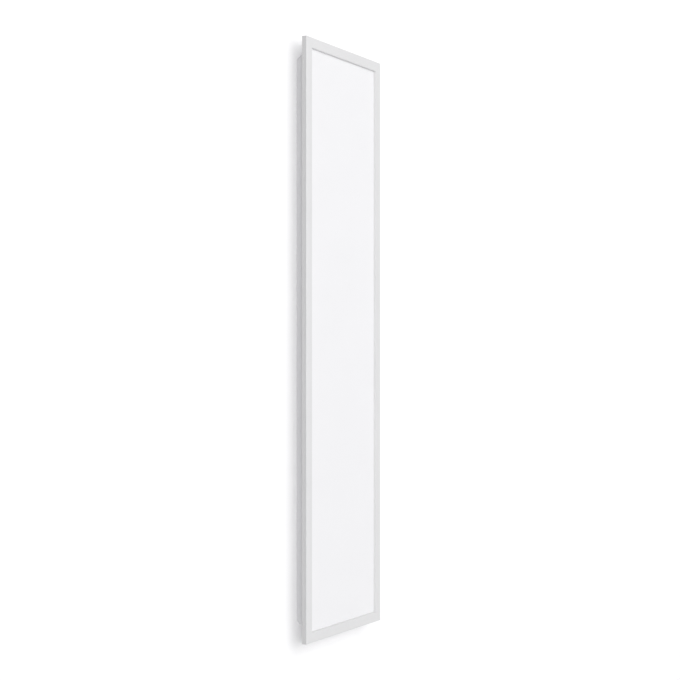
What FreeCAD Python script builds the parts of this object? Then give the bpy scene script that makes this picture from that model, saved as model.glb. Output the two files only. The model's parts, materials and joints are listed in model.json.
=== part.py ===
"""Slim backlit LED panel luminaire, 1195 x 295 mm, with its driver fixed to the back.

The panel hangs upright, long side along Z, and faces -Y. Lengths are in millimetres. Depths in this file
are measured from the front face towards the back, along +Y. On export everything moves so that the origin
is the centre of the four suspension nuts, on the pan's back plane. Each sub-part is written to
parts/NODE.step.
"""
import FreeCAD
import Part

import math
import os

V = FreeCAD.Vector

# ---------------------------------------------------------------- driving dimensions
PANEL_W = 295.0             # outer width, nominal 300 module
PANEL_H = 1195.0            # outer height, nominal 1200 module
FRAME_DEPTH = 11.0          # thickness of the frame, front to back
PAN_BACK = 35.0             # depth of the sheet-steel pan's back plane, where the origin is

# frame extrusion: "in" is measured inwards from the outer edge
EDGE_W, EDGE_DROP = 3.0, 0.7     # shallow slope along the outer edge of the front face
FACE_FLAT = 20.0            # the flat front face ends here
LIP_IN, LIP_BACK = 21.2, 4.5     # the drafted inner wall ends here, on the diffuser
LIP_T = 1.5
SKIN = 1.5                  # front face and outer wall thickness
WEB_OUTER, WEB_IN = 7.8, 9.0     # inner web of the box channel
SHELF_IN = 13.0             # shelf behind the diffuser's edge
SHELF_FRONT, SHELF_BACK = 6.7, 7.9
LAND_FRONT = 8.9            # screw land at the back of the channel
PAN_SEAT = 10.2             # the pan's flange sits in this rebate
MITRE_REACH = 40.0
MITRE_GAP = 0.15            # hairline between two members, measured along Z
DIFFUSER_T = 2.0
DIFFUSER_IN = 9.6           # the diffuser's edge, inside the groove

SHEET = FRAME_DEPTH - PAN_SEAT   # pan sheet thickness, 0.8
PAN_EDGE_GAP = 0.2

# pressed pan: inset of the wall from the frame's outer edge, at its foot and at its back plane
PAN_SIDE_FOOT, PAN_SIDE_BACK = 9.5, 17.5
PAN_END_FOOT, PAN_END_BACK = 17.0, 33.5
PAN_FOOT_RADIUS, PAN_BACK_RADIUS = 18.0, 14.0

# pressed stiffening beads in the pan
BEAD_DEPTH = 1.4
BEAD_HALF = 5.0
BEAD_DRAFT = 1.6
LONG_BEAD_X = 114.0
LONG_BEAD_HALF = 515.0
CROSS_BEAD_HALF = 36.0
CROSS_BEAD_Z = (270.0, 340.0, 410.0, 480.0)

# light engine
ROW_X = 62.0                # LED rows, either side of the middle
BOARD_W, BOARD_L, BOARD_T = 16.0, 530.0, 1.6
BOARD_Z = 277.5             # centre of each board
LED_PITCH = 60.0
LED_STEPS = range(-4, 5)
LED_SIZE = 3.0
LED_T = 0.7
LENS_R = 7.0
LENS_H = 5.5
LENS_FOOT = 0.8             # height of the three feet
LENS_RIM = 1.2              # straight rim above the feet
LENS_DIMPLE_R, LENS_DIMPLE = 2.4, 1.5
LENS_BULGE_OUT, LENS_BULGE_DOWN = 0.76, 0.27     # point of the crown's arc, as shares of radius and height
LENS_FEET_OUT = 0.74        # place of the feet, as a share of the radius
LED_POCKET_R, LED_POCKET = 2.6, 1.6
RIVET_STEPS = (-3.5, 0.5, 3.5)   # in LED pitches from the board's centre
REFLECTOR_BACK = 31.4
REFLECTOR_T = 0.4
CONNECTOR = (8.0, 5.0, 3.6)      # x, z, height
END_CONNECTOR_STEP = 4.27        # in LED pitches from the board's centre
WIRE_R = 0.55

# driver on the back of the pan
CASE_X, CASE_Z = 25.0, 115.0     # half sizes
CASE_WALL = 2.0
CASE_BACK = 59.0
LID_T = 1.6
LID_SIDE_GAP = 0.2
HINGE_Y, HINGE_Z = 56.4, 73.0
HINGE_R = 2.4
TRUNNION_R, TRUNNION_HOLE = 1.40, 1.46
LID_END_Z = 70.0
CABLE_Y = 46.0
MAINS_CABLE_R = 4.0
LEAD_R = 2.5
EAR_X, EAR_HALF, EAR_OUT = 16.0, 6.0, 12.0
PCB_Y, PCB_T = 40.0, 1.6
PCB_X, PCB_Z = 21.0, 96.0
POST_X, POST_Z = 16.0, 60.0      # posts that carry the circuit board
TERMINAL_X, TERMINAL_H = 11.0, 12.0
TERMINAL_NEAR, TERMINAL_FAR = 78.0, 94.0
BUTTON_X, BUTTON_Z = 5.0, 82.5
BUTTON_W, BUTTON_L = 5.0, 5.0
BUTTON_PROUD, BUTTON_SUNK = 1.8, 2.4
BUTTON_TRAVEL = 1.2
WELL_CLEAR = 0.6                 # below a button at the end of its travel
CLAMP_Z = 104.0
CLAMP_POST_X = 10.0
BOSS_X, BOSS_Z = 17.5, 108.0     # bosses for the cover screws

# direct-current lead from the pan to the driver
LEAD_HOLE_Z = BOARD_Z - 1.5 * LED_PITCH
LEAD_BEND = CABLE_Y - PAN_BACK
LEAD_INNER_END = 98.0
CORE_R = 0.9

# fasteners
PAN_SCREW_IN = 5.2
PAN_SCREW_Z = (-520.0, -260.0, 0.0, 260.0, 520.0)
PAN_SCREW_X = (-80.0, 80.0)
NUT_X, NUT_Z = 95.0, 510.0       # half spacings of the suspension nuts
NUT_BORE = 2.0

HALF_W, HALF_H = PANEL_W / 2, PANEL_H / 2
PAN_FLOOR = PAN_BACK - SHEET     # inner face of the pan's back
BOARD_FRONT = PAN_FLOOR - BOARD_T
SIDES = (-1, 1)


# ---------------------------------------------------------------- helpers
def block(x0, x1, y0, y1, z0, z1):
    """Box between two corners."""
    return Part.makeBox(x1 - x0, y1 - y0, z1 - z0, V(x0, y0, z0))


def rod(radius, start, direction, length):
    """Cylinder from a start point along a direction."""
    return Part.makeCylinder(radius, length, V(*start), V(*direction))


def y_rod(radius, x, z, y0, y1):
    """Cylinder along Y between two depths."""
    return rod(radius, (x, y0, z), (0, 1, 0), y1 - y0)


def z_mirror(shape):
    """Mirror image about the plane z = 0."""
    return shape.mirror(V(0, 0, 0), V(0, 0, 1))


def fuse(shapes):
    """One clean solid from overlapping or touching shapes."""
    shapes = list(shapes)
    return shapes[0].fuse(shapes[1:]).removeSplitter()


def outline(corners, place):
    """Closed wire through (u, v, radius) corners, where a radius rounds its corner.

    place turns (u, v) into a point.
    """
    edges, joints = [], []
    count = len(corners)
    for i, (u, v, radius) in enumerate(corners):
        here = V(u, v, 0)
        before = (V(*corners[i - 1][:2], 0) - here).normalize()
        after = (V(*corners[(i + 1) % count][:2], 0) - here).normalize()
        if not radius:
            joints.append((here, here))
            continue
        half = before.getAngle(after) / 2
        reach = radius / math.tan(half)
        to_centre = (before + after).normalize()
        middle = here + to_centre * (radius / math.sin(half) - radius)
        start, end = here + before * reach, here + after * reach
        edges.append(Part.Arc(*(place(p.x, p.y) for p in (start, middle, end))).toShape())
        joints.append((start, end))
    for i in range(count):
        start, end = joints[i][1], joints[(i + 1) % count][0]
        if (end - start).Length > 1e-6:
            edges.append(Part.LineSegment(place(start.x, start.y), place(end.x, end.y)).toShape())
    return Part.Wire(Part.__sortEdges__(edges))


def rounded_rectangle(half_x, half_z, radius, y, centre=(0.0, 0.0)):
    """Rounded rectangle as a wire in the plane of that depth."""
    cx, cz = centre
    signs = ((-1, -1), (1, -1), (1, 1), (-1, 1))
    corners = [(cx + sx * half_x, cz + sz * half_z, radius) for sx, sz in signs]
    return outline(corners, lambda u, v: V(u, y, v))


def slab(half_x, half_z, radius, y0, y1, centre=(0.0, 0.0)):
    """Plate with rounded corners between two depths."""
    return Part.Face(rounded_rectangle(half_x, half_z, radius, y0, centre)).extrude(V(0, y1 - y0, 0))


def tapered_slab(front, back, y0, y1, centre=(0.0, 0.0)):
    """Block whose rounded outline changes from front to back. Each outline is (half_x, half_z, radius)."""
    wires = [rounded_rectangle(*front, y0, centre), rounded_rectangle(*back, y1, centre)]
    return Part.makeLoft(wires, True, True)


def tube(points, radius, bends):
    """Round tube along straight runs joined by tangent arcs. bends gives each inner corner's radius."""
    points = [V(*p) for p in points]
    edges, start = [], points[0]
    for corner, bend, before, after in zip(points[1:-1], bends, points, points[2:]):
        back, on = (before - corner).normalize(), (after - corner).normalize()
        half = back.getAngle(on) / 2
        reach = bend / math.tan(half)
        first, last = corner + back * reach, corner + on * reach
        middle = corner + (back + on).normalize() * (bend / math.sin(half) - bend)
        edges.append(Part.LineSegment(start, first).toShape())
        edges.append(Part.Arc(first, middle, last).toShape())
        start = last
    edges.append(Part.LineSegment(start, points[-1]).toShape())
    path = Part.Wire(edges)
    along = (points[1] - points[0]).normalize()
    section = Part.Wire(Part.makeCircle(radius, points[0], along))
    return path.makePipeShell([section], True, True)


def pan_head_screw(x, z, seat, head_r, head_h, shank_r, reach, towards=-1):
    """Pan-head screw on a seat plane. towards -1 drives it to the front, and the head stands at the back."""
    head = y_rod(head_r, x, z, seat, seat + head_h)
    rim = [e for e in head.Edges if abs(e.CenterOfMass.y - seat - head_h) < 1e-6]
    head = head.makeFillet(head_h * 0.55, rim)
    arm, slot = head_r * 0.6, 0.35
    y0, y1 = seat + head_h * 0.5, seat + head_h * 2
    cross = fuse([block(x - arm, x + arm, y0, y1, z - slot, z + slot),
                  block(x - slot, x + slot, y0, y1, z - arm, z + arm)])
    shank = y_rod(shank_r, x, z, seat - reach, seat + head_h * 0.3)
    return head.cut(cross).fuse(shank).removeSplitter()


# ---------------------------------------------------------------- frame
def section_corners():
    """Cross-section of the extrusion as (in, depth, radius) corners."""
    face = [(0, EDGE_DROP, 0.4), (EDGE_W, 0, 1.5), (FACE_FLAT, 0, 0.4), (LIP_IN, LIP_BACK, 0)]
    inside = [(LIP_IN - LIP_T, LIP_BACK, 0), (FACE_FLAT - LIP_T, SKIN, 0.5), (WEB_IN, SKIN, 0)]
    shelf = [(WEB_IN, SHELF_FRONT, 0), (SHELF_IN, SHELF_FRONT, 0),
             (SHELF_IN, SHELF_BACK, 0), (WEB_IN, SHELF_BACK, 0)]
    rebate = [(WEB_IN, PAN_SEAT, 0), (SKIN, PAN_SEAT, 0), (SKIN, FRAME_DEPTH, 0), (0, FRAME_DEPTH, 0.3)]
    return face + inside + shelf + rebate


def channel_corners():
    """Box channel inside the extrusion, which takes the corner keys."""
    return [(SKIN, SKIN, 0), (WEB_OUTER, SKIN, 0), (WEB_OUTER, LAND_FRONT, 0), (SKIN, LAND_FRONT, 0)]


def extrusion(place, run):
    """Hollow extrusion of the frame section, as long as run. place puts (in, depth) in the model."""
    outer = Part.Face(outline(section_corners(), place)).extrude(run)
    channel = Part.Face(outline(channel_corners(), place)).extrude(run)
    return outer.cut(channel)


def mitre_wedge(corners):
    """Prism through the panel's thickness over a flat outline in X and Z."""
    points = [V(x, -1, z) for x, z in corners]
    return Part.Face(Part.makePolygon(points + points[:1])).extrude(V(0, FRAME_DEPTH + 2, 0))


def pan_screw_places():
    """X and Z of every screw that holds the pan on the frame."""
    sides = [(s * (HALF_W - PAN_SCREW_IN), z) for s in SIDES for z in PAN_SCREW_Z]
    ends = [(x, s * (HALF_H - PAN_SCREW_IN)) for s in SIDES for x in PAN_SCREW_X]
    return sides + ends


def frame_side(sign):
    """Long frame member, mitred at both ends. sign -1 is the left one."""
    place = lambda inward, depth: V(sign * (HALF_W - inward), depth, -HALF_H)
    member = extrusion(place, V(0, 0, PANEL_H))
    m, end = MITRE_REACH, HALF_H - MITRE_GAP
    wedge = mitre_wedge([(sign * HALF_W, -end), (sign * (HALF_W - m), m - end),
                         (sign * (HALF_W - m), end - m), (sign * HALF_W, end)])
    return drill_land(member.common(wedge))


def frame_end(sign):
    """Short frame member, mitred at both ends. sign 1 is the top one."""
    place = lambda inward, depth: V(-HALF_W, depth, sign * (HALF_H - inward))
    member = extrusion(place, V(PANEL_W, 0, 0))
    m = MITRE_REACH
    wedge = mitre_wedge([(-HALF_W, sign * HALF_H), (-HALF_W + m, sign * (HALF_H - m)),
                         (HALF_W - m, sign * (HALF_H - m)), (HALF_W, sign * HALF_H)])
    return drill_land(member.common(wedge))


def drill_land(member):
    """Pilot holes for the pan screws in the land at the back of the channel."""
    holes = [y_rod(1.35, x, z, LAND_FRONT - 0.5, FRAME_DEPTH) for x, z in pan_screw_places()]
    return member.cut(Part.makeCompound(holes))


def corner_keys():
    """Four L-shaped keys that slide into the channels of two neighbouring members."""
    gap, arm = 0.15, 30.0
    a, b = SKIN + gap, WEB_OUTER - gap
    keys = []
    for sx in SIDES:
        for sz in SIDES:
            flat = [(a, a), (a + arm, a), (a + arm, b), (b, b), (b, a + arm), (a, a + arm)]
            corners = [(sx * (HALF_W - p), sz * (HALF_H - q), 0.0) for p, q in flat]
            wire = outline(corners, lambda u, v: V(u, SKIN + gap, v))
            keys.append(Part.Face(wire).extrude(V(0, LAND_FRONT - SKIN - 2 * gap, 0)))
    return Part.makeCompound(keys)


# ---------------------------------------------------------------- optics
def diffuser_plate():
    """Opal plate held in the groove of the four frame members."""
    return slab(HALF_W - DIFFUSER_IN, HALF_H - DIFFUSER_IN, 1.0, LIP_BACK, LIP_BACK + DIFFUSER_T)


def led_places():
    """X and Z of every LED."""
    return [(sx * ROW_X, sz * BOARD_Z + k * LED_PITCH) for sx in SIDES for sz in SIDES for k in LED_STEPS]


def rivet_places():
    """X and Z of every board rivet."""
    return [(sx * ROW_X, sz * BOARD_Z + k * LED_PITCH) for sx in SIDES for sz in SIDES for k in RIVET_STEPS]


def end_connector_places():
    """X and Z of the connectors at both ends of every board."""
    step = END_CONNECTOR_STEP * LED_PITCH
    return [(sx * ROW_X, sz * BOARD_Z + k * step) for sx in SIDES for sz in SIDES for k in SIDES]


def feed_connector_places():
    """X and Z of the connectors that take the feed wires."""
    return [(sx * ROW_X, LEAD_HOLE_Z) for sx in SIDES]


def reflector_sheet():
    """White sheet over the boards, with a hole for each lens, connector, suspension nut and the lead."""
    sheet = slab(HALF_W - PAN_SIDE_BACK - 2.5, HALF_H - PAN_END_BACK - 4.0, 10.0,
                 REFLECTOR_BACK - REFLECTOR_T, REFLECTOR_BACK)
    y0, y1 = REFLECTOR_BACK - 1.0, REFLECTOR_BACK + 1.0
    holes = [y_rod(LENS_R + 0.6, x, z, y0, y1) for x, z in led_places()]
    holes += [y_rod(6.0, sx * NUT_X, sz * NUT_Z, y0, y1) for sx in SIDES for sz in SIDES]
    for x, z in end_connector_places() + feed_connector_places():
        holes.append(block(x - CONNECTOR[0] / 2 - 0.6, x + CONNECTOR[0] / 2 + 0.6, y0, y1,
                           z - CONNECTOR[1] / 2 - 0.6, z + CONNECTOR[1] / 2 + 0.6))
    return sheet.cut(Part.makeCompound(holes))


# ---------------------------------------------------------------- light engine
def led_board(sx, sz):
    """Aluminium-core board with its rivet holes."""
    x, z = sx * ROW_X, sz * BOARD_Z
    board = slab(BOARD_W / 2, BOARD_L / 2, 1.5, BOARD_FRONT, PAN_FLOOR, (x, z))
    holes = [y_rod(1.9, x, z + k * LED_PITCH, BOARD_FRONT - 1, PAN_FLOOR + 1) for k in RIVET_STEPS]
    return board.cut(Part.makeCompound(holes))


def led_packages():
    """One surface-mounted LED under each lens."""
    half = LED_SIZE / 2
    return Part.makeCompound([block(x - half, x + half, BOARD_FRONT - LED_T, BOARD_FRONT, z - half, z + half)
                              for x, z in led_places()])


def led_lens(x, z):
    """Wide-beam lens: a low turned dome with a dimple over the LED, on three feet."""
    base = BOARD_FRONT - LENS_FOOT
    crown, rim = BOARD_FRONT - LENS_H, base - LENS_RIM
    axis, dimple = V(x, crown + LENS_DIMPLE, z), V(x + LENS_DIMPLE_R, crown, z)
    shoulder, foot = V(x + LENS_R, rim, z), V(x + LENS_R, base, z)
    bulge = V(x + LENS_BULGE_OUT * LENS_R, crown + LENS_BULGE_DOWN * (rim - crown), z)
    roof = base - LED_POCKET
    pocket = [V(x + LED_POCKET_R, base, z), V(x + LED_POCKET_R, roof, z), V(x, roof, z)]
    corners = [shoulder, foot, *pocket, axis, dimple]
    edges = [Part.LineSegment(p, q).toShape() for p, q in zip(corners, corners[1:])]
    edges.append(Part.Arc(dimple, bulge, shoulder).toShape())
    dome = Part.Face(Part.Wire(edges)).revolve(V(x, base, z), V(0, 1, 0), 360)
    reach = LENS_FEET_OUT * LENS_R
    feet = [y_rod(0.8, x + reach * math.cos(a), z + reach * math.sin(a), base - 0.4, BOARD_FRONT)
            for a in (math.radians(90 + 120 * k) for k in range(3))]
    return dome.fuse(feet).removeSplitter()


def led_lenses(sx, sz):
    """The lenses of one board, as separate solids. They are copies of one."""
    first = led_lens(sx * ROW_X, sz * BOARD_Z)
    return Part.makeCompound([first.translated(V(0, 0, k * LED_PITCH)) for k in LED_STEPS])


def board_rivets():
    """Nylon push rivets through board and pan. The reflector rests on their heads."""
    rivets = []
    for x, z in rivet_places():
        head = y_rod(3.2, x, z, REFLECTOR_BACK, BOARD_FRONT)
        shank = y_rod(1.8, x, z, BOARD_FRONT, PAN_BACK + 0.2)
        tail = Part.makeCone(2.6, 1.6, 1.2, V(x, PAN_BACK, z), V(0, 1, 0))
        rivets.append(fuse([head, shank, tail]))
    return Part.makeCompound(rivets)


def board_connectors():
    """Poke-in connectors on the boards."""
    sx, sz, height = CONNECTOR
    return Part.makeCompound([slab(sx / 2, sz / 2, 0.6, BOARD_FRONT - height, BOARD_FRONT, (x, z))
                              for x, z in end_connector_places() + feed_connector_places()])


def feed_wires():
    """Two wires from the lead's inner end to the feed connector of each row."""
    y = BOARD_FRONT - WIRE_R - 0.05
    wires = []
    for sx in SIDES:
        start = (sx * 1.0, PAN_BACK + 1.0, LEAD_HOLE_Z)
        stop = (sx * (ROW_X - CONNECTOR[0] / 2), y, LEAD_HOLE_Z)
        wires.append(tube([start, (sx * 1.0, y, LEAD_HOLE_Z), stop], WIRE_R, [3.0]))
    return Part.makeCompound(wires)


def board_link_wires():
    """Jumpers between the upper and lower boards of each row, and one link across the foot."""
    y = BOARD_FRONT - WIRE_R - 0.05
    near = BOARD_Z - END_CONNECTOR_STEP * LED_PITCH - CONNECTOR[1] / 2
    far = -(BOARD_Z + END_CONNECTOR_STEP * LED_PITCH)
    wires = [rod(WIRE_R, (sx * ROW_X, y, -near), (0, 0, 1), 2 * near) for sx in SIDES]
    inner = ROW_X - CONNECTOR[0] / 2
    wires.append(rod(WIRE_R, (-inner, y, far), (1, 0, 0), 2 * inner))
    return Part.makeCompound(wires)


# ---------------------------------------------------------------- pan
def pan_form(skin):
    """Filled shape of the pressed pan. skin is 0 for the outside and the sheet thickness for the inside."""
    foot = (HALF_W - PAN_SIDE_FOOT - skin, HALF_H - PAN_END_FOOT - skin, PAN_FOOT_RADIUS - skin)
    back = (HALF_W - PAN_SIDE_BACK - skin, HALF_H - PAN_END_BACK - skin, PAN_BACK_RADIUS - skin)
    form = tapered_slab(foot, back, PAN_SEAT, PAN_BACK - skin)
    beads = [bead(sx * LONG_BEAD_X, 0, BEAD_HALF, LONG_BEAD_HALF, skin) for sx in SIDES]
    beads += [bead(0, sz * z, CROSS_BEAD_HALF, BEAD_HALF, skin) for sz in SIDES for z in CROSS_BEAD_Z]
    return form.cut(Part.makeCompound(beads))


def bead(x, z, half_x, half_z, skin):
    """Drafted groove pressed into the pan's back plane."""
    y = PAN_BACK - skin
    wide, tall = half_x + skin * 0.7, half_z + skin * 0.7
    round_end = min(wide, tall) - 0.01
    inner_end = round_end - BEAD_DRAFT
    return tapered_slab((wide - BEAD_DRAFT, tall - BEAD_DRAFT, inner_end), (wide, tall, round_end),
                        y - BEAD_DEPTH, y, (x, z))


def back_pan():
    """Pressed sheet-steel pan with its flange, beads and holes."""
    edge = SKIN + PAN_EDGE_GAP
    flange = slab(HALF_W - edge, HALF_H - edge, 1.0, PAN_SEAT, FRAME_DEPTH)
    pan = flange.fuse(pan_form(0.0)).cut(pan_form(SHEET))
    holes = [y_rod(1.7, x, z, PAN_SEAT - 1, FRAME_DEPTH + 1) for x, z in pan_screw_places()]
    y0, y1 = PAN_FLOOR - 1, PAN_BACK + 1
    holes += [y_rod(1.9, x, z, y0, y1) for x, z in rivet_places()]
    holes += [y_rod(3.1, sx * NUT_X, sz * NUT_Z, y0, y1) for sx in SIDES for sz in SIDES]
    holes += [y_rod(1.7, x, z, y0, y1) for x, z in ear_places()]
    holes.append(y_rod(4.6, 0, LEAD_HOLE_Z, y0, y1))
    return pan.cut(Part.makeCompound(holes)).removeSplitter()


def pan_screws():
    """Pan-head screws that hold the pan in the frame's rebate."""
    return Part.makeCompound([pan_head_screw(x, z, FRAME_DEPTH, 2.7, 1.7, 1.3, 5.5)
                              for x, z in pan_screw_places()])


def suspension_nuts():
    """Blind rivet nuts, M4, for a suspension or surface-mounting kit. The thread is a plain bore."""
    nuts = []
    for sx in SIDES:
        for sz in SIDES:
            x, z = sx * NUT_X, sz * NUT_Z
            flange = y_rod(4.8, x, z, PAN_BACK, PAN_BACK + 0.9)
            body = y_rod(3.0, x, z, PAN_BACK - 7.0, PAN_BACK + 0.1)
            bulge = Part.makeCone(3.0, 4.2, 1.6, V(x, PAN_FLOOR - 1.7, z), V(0, 1, 0))
            nuts.append(fuse([flange, body, bulge]).cut(y_rod(NUT_BORE, x, z, PAN_BACK - 8, PAN_BACK + 2)))
    return Part.makeCompound(nuts)


# ---------------------------------------------------------------- direct-current lead
def lead_grommet():
    """Rubber bush in the pan where the lead comes out."""
    z = LEAD_HOLE_Z
    flange = y_rod(6.5, 0, z, PAN_BACK, PAN_BACK + 1.2)
    neck = y_rod(4.5, 0, z, PAN_FLOOR - 0.2, PAN_BACK + 0.2)
    lip = y_rod(5.6, 0, z, PAN_FLOOR - 1.0, PAN_FLOOR)
    collar = Part.makeCone(4.6, 3.4, 3.2, V(0, PAN_BACK + 1.1, z), V(0, 1, 0))
    bore = y_rod(LEAD_R + 0.02, 0, z, PAN_BACK + 0.9, PAN_BACK + 6)
    flare = y_rod(3.3, 0, z, PAN_FLOOR - 2, PAN_BACK + 1.0)
    return fuse([flange, neck, lip, collar]).cut(bore).cut(flare)


def dc_lead():
    """Sheathed lead: out of the grommet, one bend, then straight into the driver's output end."""
    start = (0, PAN_BACK + 1.0, LEAD_HOLE_Z)
    corner = (0, CABLE_Y, LEAD_HOLE_Z)
    return tube([start, corner, (0, CABLE_Y, LEAD_INNER_END)], LEAD_R, [LEAD_BEND - 1.4])


def dc_lead_cores():
    """The two cores, from the end of the sheath into the output terminal."""
    stop = TERMINAL_FAR
    return Part.makeCompound([rod(CORE_R, (sx * 1.2, CABLE_Y, stop), (0, 0, 1), LEAD_INNER_END - stop)
                              for sx in SIDES])


# ---------------------------------------------------------------- driver
def ear_places():
    """X and Z of the screws that fix the driver's ears to the pan."""
    return [(sx * EAR_X, sz * (CASE_Z + EAR_OUT / 2)) for sx in SIDES for sz in SIDES]


def cover_boss_place(sign):
    """X and Z of the boss that takes the screw of the cover at that end."""
    return BOSS_X, sign * BOSS_Z


def driver_case():
    """Moulded tub with terminal compartments, board posts, hinge holes and fixing ears."""
    inner_x, inner_z, floor = CASE_X - CASE_WALL, CASE_Z - CASE_WALL, PAN_BACK + CASE_WALL
    tub = slab(CASE_X, CASE_Z, 2.5, PAN_BACK, CASE_BACK)
    tub = tub.cut(slab(inner_x, inner_z, 0.8, floor, CASE_BACK + 1))
    for sign, cable_r in ((-1, MAINS_CABLE_R), (1, LEAD_R + 0.05)):
        z0, z1 = sorted((sign * (inner_z - 1), sign * (CASE_Z + 1)))
        tub = tub.cut(block(-inner_x, inner_x, CABLE_Y, CASE_BACK + 1, z0, z1))
        tub = tub.cut(rod(cable_r, (0, CABLE_Y, z0), (0, 0, 1), z1 - z0))
    added = []
    for sign in SIDES:
        z0, z1 = sorted((sign * 67.2, sign * 68.8))
        added.append(block(-inner_x, inner_x, 43.5, CASE_BACK - LID_T - 0.4, z0, z1))
        bx, bz = cover_boss_place(sign)
        added.append(y_rod(2.8, bx, bz, floor - 0.2, 56.6))
        added += [y_rod(3.0, sx * CLAMP_POST_X, sign * CLAMP_Z, floor - 0.2, CABLE_Y) for sx in SIDES]
        added.append(block(-7.0, 7.0, floor - 0.2, CABLE_Y - (MAINS_CABLE_R if sign < 0 else LEAD_R) - 0.05,
                           sign * CLAMP_Z - 1.5, sign * CLAMP_Z + 1.5))
        added += [y_rod(2.2, sx * POST_X, sign * POST_Z, floor - 0.2, PCB_Y) for sx in SIDES]
    for x, z in ear_places():
        near = math.copysign(CASE_Z - 1.0, z)
        z0, z1 = sorted((near, near + math.copysign(EAR_OUT + 1.0, z)))
        added.append(block(x - EAR_HALF, x + EAR_HALF, PAN_BACK, PAN_BACK + 3.0, z0, z1))
    tub = tub.fuse(added)
    holes = [y_rod(2.1, x, z, PAN_BACK - 1, PAN_BACK + 4) for x, z in ear_places()]
    for sign in SIDES:
        bx, bz = cover_boss_place(sign)
        holes.append(y_rod(1.65, bx, bz, 50.0, 57.0))
        holes.append(rod(TRUNNION_HOLE, (-CASE_X - 1, HINGE_Y, sign * HINGE_Z), (1, 0, 0), 2 * CASE_X + 2))
        holes += [y_rod(1.1, sx * CLAMP_POST_X, sign * CLAMP_Z, floor, CABLE_Y + 1) for sx in SIDES]
        holes += [y_rod(0.9, sx * POST_X, sign * POST_Z, floor + 0.5, PCB_Y + 1) for sx in SIDES]
    return tub.cut(Part.makeCompound(holes)).removeSplitter()


def driver_lid():
    """Flush lid over the electronics, with two snap skirts and cooling ribs."""
    half_x = CASE_X - CASE_WALL - LID_SIDE_GAP
    top = CASE_BACK - 0.2
    lid = slab(half_x, LID_END_Z, 0.8, top - LID_T, top)
    skirts = [block(x - 0.7, x + 0.7, 51.0, top - LID_T + 0.1, -60, 60) for x in (1.4 - half_x, half_x - 1.4)]
    grooves = [block(-half_x + 6, half_x - 6, top - 0.6, top + 1, z - 1.0, z + 1.0)
               for z in range(-48, 49, 8)]
    return lid.fuse(skirts).cut(Part.makeCompound(grooves)).removeSplitter()


def terminal_cover(sign):
    """Hinged cover over a terminal compartment. sign -1 is the mains end and 1 the output end."""
    half_x = CASE_X - CASE_WALL - LID_SIDE_GAP
    top = HINGE_Y + HINGE_R
    cable_r = MAINS_CABLE_R if sign < 0 else LEAD_R + 0.05
    plate = block(-half_x, half_x, top - LID_T, top, HINGE_Z, CASE_Z)
    barrel = rod(HINGE_R, (-half_x, HINGE_Y, HINGE_Z), (1, 0, 0), 2 * half_x)
    skirt = block(-half_x, half_x, CABLE_Y + 0.3, top, CASE_Z - CASE_WALL + 0.1, CASE_Z)
    trunnions = rod(TRUNNION_R, (-CASE_X + 0.3, HINGE_Y, HINGE_Z), (1, 0, 0), 2 * CASE_X - 0.6)
    cover = fuse([plate, barrel, skirt, trunnions])
    bx, bz = cover_boss_place(1)
    cuts = [rod(cable_r, (0, CABLE_Y, CASE_Z - CASE_WALL - 1), (0, 0, 1), CASE_WALL + 2),
            y_rod(1.7, bx, bz, top - 3, top + 1)]
    cuts += [block(-half_x + 6, half_x - 6, top - 0.6, top + 1, z - 0.8, z + 0.8) for z in (84, 88, 92, 96)]
    cover = cover.cut(Part.makeCompound(cuts))
    return cover if sign > 0 else z_mirror(cover)


def cover_screw(sign):
    """Captive screw of a terminal cover."""
    bx, bz = cover_boss_place(sign)
    return pan_head_screw(bx, bz, HINGE_Y + HINGE_R, 2.8, 1.6, 1.4, 4.0)


def cord_clamp(sign):
    """Bar across the cable, with an arched underside."""
    cable_r = MAINS_CABLE_R if sign < 0 else LEAD_R
    z = sign * CLAMP_Z
    bar = slab(13.5, 3.0, 1.0, CABLE_Y + 0.3, CABLE_Y + 5.8, (0, z))
    cuts = [rod(cable_r + 0.05, (0, CABLE_Y, z - 4), (0, 0, 1), 8)]
    cuts += [y_rod(1.4, sx * CLAMP_POST_X, z, CABLE_Y, CABLE_Y + 7) for sx in SIDES]
    return bar.cut(Part.makeCompound(cuts))


def cord_clamp_screws():
    """Two screws for each cord clamp."""
    seat = CABLE_Y + 5.8
    return Part.makeCompound([pan_head_screw(sx * CLAMP_POST_X, sz * CLAMP_Z, seat, 2.3, 1.5, 1.0, 12.0)
                              for sx in SIDES for sz in SIDES])


def driver_screws():
    """Four sheet-metal screws through the ears into the pan."""
    return Part.makeCompound([pan_head_screw(x, z, PAN_BACK + 3.0, 3.4, 2.0, 1.6, 5.2)
                              for x, z in ear_places()])


def driver_board():
    """Circuit board of the driver."""
    board = slab(PCB_X, PCB_Z, 0.8, PCB_Y, PCB_Y + PCB_T)
    holes = [y_rod(1.0, sx * POST_X, sz * POST_Z, PCB_Y - 1, PCB_Y + 3) for sx in SIDES for sz in SIDES]
    return board.cut(Part.makeCompound(holes))


def board_screws():
    """Four small screws that hold the circuit board on its posts."""
    seat = PCB_Y + PCB_T
    return Part.makeCompound([pan_head_screw(sx * POST_X, sz * POST_Z, seat, 1.8, 1.2, 0.8, 3.6)
                              for sx in SIDES for sz in SIDES])


def driver_transformer():
    """Ferrite core with a wound bobbin."""
    y0 = PCB_Y + PCB_T
    core = block(-12, 12, y0 + 1.5, y0 + 12.5, 4, 26).cut(block(-7.5, 7.5, y0, y0 + 14, 7, 23))
    legs = block(-3, 3, y0 + 1.5, y0 + 12.5, 4, 26)
    bobbin = slab(10.5, 7.6, 2.0, y0, y0 + 13.4, (0, 15)).cut(block(-12.1, 12.1, y0 + 1.4, y0 + 12.6, 3, 7.2))
    return fuse([core, legs, bobbin])


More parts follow.
